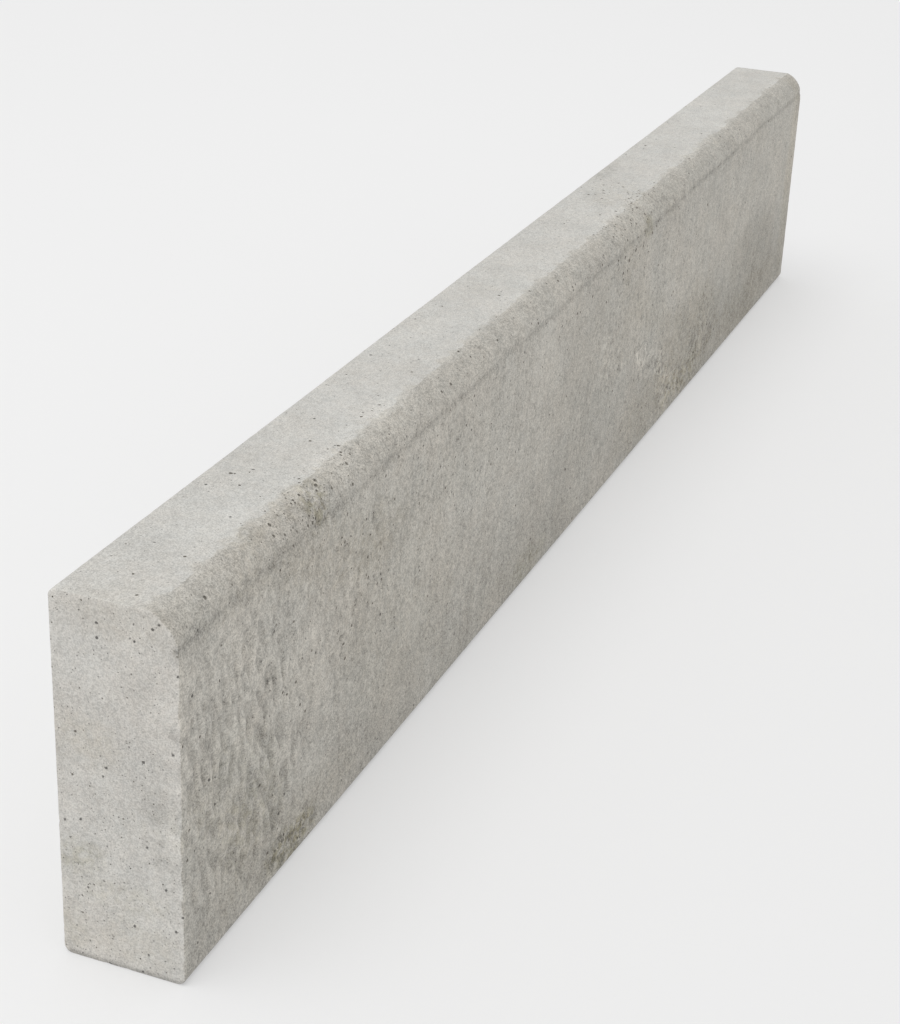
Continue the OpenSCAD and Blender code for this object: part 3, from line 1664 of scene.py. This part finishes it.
    def _end_round(self, recipe: Recipe, radius: Signal) -> Signal:
        """The shift that rounds the edges of the two ends, with small chips.

        Args:
            recipe: the tree's wiring.
            radius: the rounding's radius.

        Returns:
            The shift.
        """
        place = recipe.position()
        chips = recipe.ramp(
            recipe.noise(place, 4 * MM, 41, detail=2.0), 0.56, 0.82, self.CHIP_LEAST, self.CHIP_MOST)
        gap = recipe.low(recipe.kept("end_gap"), radius)
        angle = (1 - gap / radius) * (math.pi / 4)
        inward = radius * chips * (1 - recipe.math("COSINE", angle))
        along = radius * chips * (1 - recipe.math("SINE", angle)) - gap
        out_x = recipe.math("SIGN", recipe.split(place)[0])
        side = recipe.vector("NORMALIZE", recipe.vector("MULTIPLY", recipe.normal(), (0, 1, 1)))
        moved = recipe.vector("SCALE", side, inward * -1)
        reach = recipe.math("LESS_THAN", recipe.kept("end_gap"), radius)
        moved = recipe.vector("ADD", moved, recipe.join(out_x * along * -1 * reach, 0.0, 0.0))
        return recipe.vector("SCALE", moved, recipe.kept("on_side"))

    def _relief(self, recipe: Recipe) -> Signal:
        """The shift that gives the cast skin its relief.

        Args:
            recipe: the tree's wiring.

        Returns:
            The shift.
        """
        ramp = recipe.ramp
        normal = recipe.normal()
        skin = self.skin(recipe.position())
        x, _, z = skin.numbers
        inner = ramp(skin.edge_gap(), 2 * MM, 12 * MM, 0.0, self.LUMP_DEPTH)
        lumps = inner * ramp(recipe.split(normal)[1], -0.9, -0.5, 1.0, 0.0) + self.EDGE_LUMP_DEPTH
        deep = (skin.noise(90, 51) - NOISE_MEAN) * self.WAVE_DEPTH
        deep = deep + (skin.noise(13, 52, detail=2.0) - NOISE_MEAN) * lumps * MM
        deep = deep + (skin.noise(3.2, 53) - NOISE_MEAN) * self.GRAIN_DEPTH
        deep = deep + skin.joint() * self.JOINT_DEPTH
        ripple = (1 - skin.ripple()) * skin.cover(Mark.RIPPLE.value)
        pocked = skin.pocks() * skin.cover(Mark.POCKED.value)
        crust = (1 - skin.crust()) * skin.cover(Mark.CRUST.value)
        marked = ripple * self.RIPPLE_DEPTH + pocked * self.POCK_DEPTH + crust * self.CRUST_DEPTH
        marked = marked + skin.crease_wear() * self.CREASE_DEPTH
        deep = deep + marked * ramp(self.size.x / 2 - abs(x), 0.5 * MM, 9 * MM)
        deep = deep * ramp(z, 0.0, 5 * MM)
        return recipe.vector("SCALE", normal, deep * -1)

    def _pore_recipe(self, inside: bpy.types.Material, sizes: Iterable[str]) -> Recipe:
        """The tree that cuts the air pores into the skin.

        Args:
            inside: the finish of their insides.
            sizes: the names of the sizes that it takes.

        Returns:
            The tree's wiring.
        """
        recipe = Recipe.start("air_pores", sizes)
        body = recipe.given("Geometry")
        skin = self.skin(recipe.position())
        x, _, z = skin.numbers
        at_left = recipe.ramp(x, skin.left + 1 * MM, skin.left + 2 * MM, 1.0, 0.0)
        share = recipe.given("Share") + at_left * recipe.given("Share on Left End")
        share = (share + skin.cover(PORE_CLUSTERS)) * recipe.ramp(z, 1.5 * MM, 2.5 * MM)
        points = recipe.get(
            "GeometryNodeDistributePointsOnFaces", {"distribute_method": "POISSON"},
            {"Mesh": body, "Distance Min": recipe.given("Spacing"),
             "Density Max": recipe.given("Most per Square Metre"), "Density Factor": share,
             "Seed": self.PORE_SEED}, "Points")
        ball = recipe.paint(recipe.get("GeometryNodeMeshUVSphere", None, {
            "Segments": self.PORE_SEGMENTS, "Rings": self.PORE_RINGS, "Radius": 1.0}, "Mesh"), inside)
        least, greatest = recipe.given("Least Radius"), recipe.given("Greatest Radius")
        grown = (recipe.random(0.0, 1.0, 3) ** self.PORE_POWER) * (1 - at_left * self.END_PORE_SPREAD)
        radius = least * (1 - at_left * self.END_PORE_LEAST) + grown * (greatest - least)
        squash = recipe.join(1.0, recipe.random(*self.PORE_WIDE, 4), recipe.random(*self.PORE_DEEP, 5))
        turn = recipe.join(
            recipe.random(0.0, FULL_TURN, 8), recipe.random(0.0, FULL_TURN, 9), 0.0)
        balls = recipe.get("GeometryNodeInstanceOnPoints", None, {
            "Points": points, "Instance": ball, "Rotation": turn,
            "Scale": recipe.vector("SCALE", squash, radius)})
        cutters = recipe.node("GeometryNodeJoinGeometry", None, {0: balls})
        for pore in LARGE_PORES:
            recipe.feed(cutters.inputs[0], recipe.get("GeometryNodeTransform", None, {
                "Geometry": ball, "Scale": (pore.width / 2 * MM,) * 3,
                "Translation": pore.face.spot(self.size, pore.along, pore.across),
                "Rotation": (pore.across, pore.along, 0.0)}))
        cut = recipe.get("GeometryNodeMeshBoolean", {"operation": "DIFFERENCE", "solver": "MANIFOLD"}, {
            "Mesh 1": body, "Mesh 2": recipe.realize(recipe.out(cutters))}, "Mesh")
        mesh = recipe.realize(self._shaded(recipe, cut))
        chosen = recipe.get("GeometryNodeMaterialSelection", None, {"Material": inside})
        recipe.deliver(Geometry=recipe.paint(mesh, inside, chosen))
        return recipe

    def _shaded(self, recipe: Recipe, mesh: Signal) -> Signal:
        """Shades a mesh smooth, but for the pores' rims and the crease.

        Args:
            recipe: the tree's wiring.
            mesh: the mesh.

        Returns:
            The mesh.
        """
        gap = self.skin(recipe.position()).crease_gap()
        creased = recipe.math("LESS_THAN", gap, self.CREASE_BAND)
        sharp = math.radians(self.SHARP) - creased * math.radians(self.SHARP - self.CREASE_SHARP)
        smooth = recipe.get("GeometryNodeSetShadeSmooth", {"domain": "FACE"}, {
            "Geometry": mesh, "Shade Smooth": True})
        angle = recipe.get("GeometryNodeInputMeshEdgeAngle")
        return recipe.get("GeometryNodeSetShadeSmooth", {"domain": "EDGE"}, {
            "Geometry": smooth, "Selection": recipe.math("GREATER_THAN", angle, sharp),
            "Shade Smooth": False})

    @staticmethod
    def _plain(source: bpy.types.Object, name: str) -> bpy.types.Mesh:
        """The plain mesh that an object's modifiers give.

        Args:
            source: the object.
            name: the mesh's name.

        Returns:
            The mesh.
        """
        bpy.context.view_layer.update()
        graph = bpy.context.evaluated_depsgraph_get()
        mesh = bpy.data.meshes.new_from_object(source.evaluated_get(graph))
        mesh.name = name
        source.modifiers.clear()
        return mesh

    def _clean(self, mesh: bpy.types.Mesh) -> None:
        """Closes slivers that the cutting left, and drops folds and bubbles closed in under it.

        Args:
            mesh: the mesh.
        """
        shape = bmesh.new()
        shape.from_mesh(mesh)
        bmesh.ops.dissolve_degenerate(shape, dist=self.SLIVER, edges=shape.edges)
        bmesh.ops.triangulate(shape, faces=shape.faces)
        left = set(shape.faces)
        loose = []
        while left:
            joined = [left.pop()]
            for face in joined:
                edges = [edge for edge in face.edges if edge.is_manifold]
                near = left.intersection(other for edge in edges for other in edge.link_faces)
                left -= near
                joined.extend(near)
            if len(joined) < len(shape.faces) / 2:
                loose.extend(joined)
        bmesh.ops.delete(shape, geom=loose, context="FACES")
        shape.to_mesh(mesh)
        shape.free()

    @staticmethod
    def _log(what: str, mesh: bpy.types.Mesh) -> None:
        """Says how large a mesh is."""
        mesh.calc_loop_triangles()
        LOG.info("%s: %d points, %d triangles", what, len(mesh.vertices), len(mesh.loop_triangles))


# --------------------------------------------------------------------------- the studio
@dataclass(frozen=True)
class Lamp:
    """A round soft light that shines at the origin.

    Attributes:
        name: its name.
        way: the way to it.
        reach: how far off it is.
        size: how wide it is.
        power: its power.
    """

    name: str
    way: tuple[float, float, float]
    reach: float
    size: float
    power: float

    def hang(self) -> None:
        """Hangs it in the scene."""
        lamp = bpy.data.lights.new(self.name, "AREA")
        lamp.shape = "DISK"
        lamp.size = self.size
        lamp.energy = self.power
        box = add_object(self.name, lamp)
        out = Vector(self.way).normalized()
        box.location = out * self.reach
        box.rotation_mode = "QUATERNION"
        box.rotation_quaternion = out.to_track_quat("Z", "Y")


@dataclass
class Studio:
    """A pale floor, soft light and the camera.

    Attributes:
        floor_size: the side of the square floor.
        sky: brightness of the even light from all round.
        backdrop: brightness of the backdrop behind the floor, as the camera sees it.
        key: the large soft light overhead.
        side: the weaker light at the left, which grazes the road face.
        eye: where the camera is.
        heading: the camera's heading, in degrees from +Y towards +X.
        dip: how far it looks down, in degrees.
        tilt: how far it is turned on its axis, in degrees.
        lens: its focal length, in millimetres.
        sensor: how wide its sensor is, in millimetres.
        sight: how far it sees.
    """

    floor_size: float = 30.0
    sky: float = 0.74
    backdrop: float = 0.87
    key: Lamp = Lamp("key_light", (-0.26, 0.13, 0.88), 5.0, 3.6, 70.0)
    side: Lamp = Lamp("side_light", (-1.0, -0.25, 0.42), 4.0, 1.6, 15.0)
    eye: tuple[float, float, float] = (-0.9793, -0.3167, 0.4665)
    heading: float = 69.23
    dip: float = 24.85
    tilt: float = 2.50
    lens: float = 71.63
    sensor: float = 36.0
    sight: float = 100.0

    def lay_floor(self, material: bpy.types.Material) -> None:
        """Lays the floor.

        Args:
            material: its finish.
        """
        half = self.floor_size / 2
        mesh = bpy.data.meshes.new("studio_floor")
        corners = [(-half, -half, 0), (half, -half, 0), (half, half, 0), (-half, half, 0)]
        mesh.from_pydata(corners, [], [(0, 1, 2, 3)])
        mesh.materials.append(material)
        floor = add_object("studio_floor", mesh)

    def light(self) -> None:
        """Sets up the even sky and the two soft lights."""
        scene = bpy.context.scene
        world = bpy.data.worlds.new("studio_sky")
        world.use_nodes = True
        wiring = Wiring(world.node_tree)
        background = wiring.tree.nodes["Background"]
        background.inputs["Color"].default_value = (*WHITE, 1.0)
        seen = wiring.get("ShaderNodeLightPath", key="Is Camera Ray")
        wiring.feed(background.inputs["Strength"], seen * (self.backdrop - self.sky) + self.sky)
        scene.world = world
        self.key.hang()
        self.side.hang()
        scene.view_settings.view_transform = "Standard"

    def set_camera(self) -> None:
        """Sets up the camera."""
        yaw, pitch, roll = (math.radians(a) for a in (self.heading, self.dip, self.tilt))
        level_ahead = Vector((math.sin(yaw), math.cos(yaw), 0.0))
        ahead = level_ahead * math.cos(pitch) - Vector((0.0, 0.0, math.sin(pitch)))
        level = Vector((math.cos(yaw), -math.sin(yaw), 0.0))
        over = level.cross(ahead)
        right = level * math.cos(roll) + over * math.sin(roll)
        up = over * math.cos(roll) - level * math.sin(roll)
        lens = bpy.data.cameras.new("camera")
        lens.lens = self.lens
        lens.sensor_fit = "AUTO"
        lens.sensor_width = self.sensor
        lens.clip_end = self.sight
        camera = add_object("camera", lens)
        turned = Matrix((right, up, -ahead)).transposed().to_4x4()
        camera.matrix_world = Matrix.Translation(Vector(self.eye)) @ turned
        bpy.context.scene.camera = camera


def main() -> None:
    """Builds the studio and the stone, in order."""
    logging.basicConfig(level=logging.INFO, format="%(name)s: %(message)s")
    effects = Effects()
    studio = Studio()
    studio.set_camera()
    studio.light()
    studio.lay_floor(FloorFinish().build(effects))
    LOG.info("studio: floor, lights and camera")
    low, high = (Vector(corner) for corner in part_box(NODE))
    kerb = KerbStone(size=high - low)
    concrete = ConcreteFinish().build(effects, kerb)
    stone = kerb.build(concrete, PoreFinish().build(effects))
    kerb.dress(stone)
    LOG.info("kerb stone: %s", stone.name)


if __name__ == "__main__":
    main()
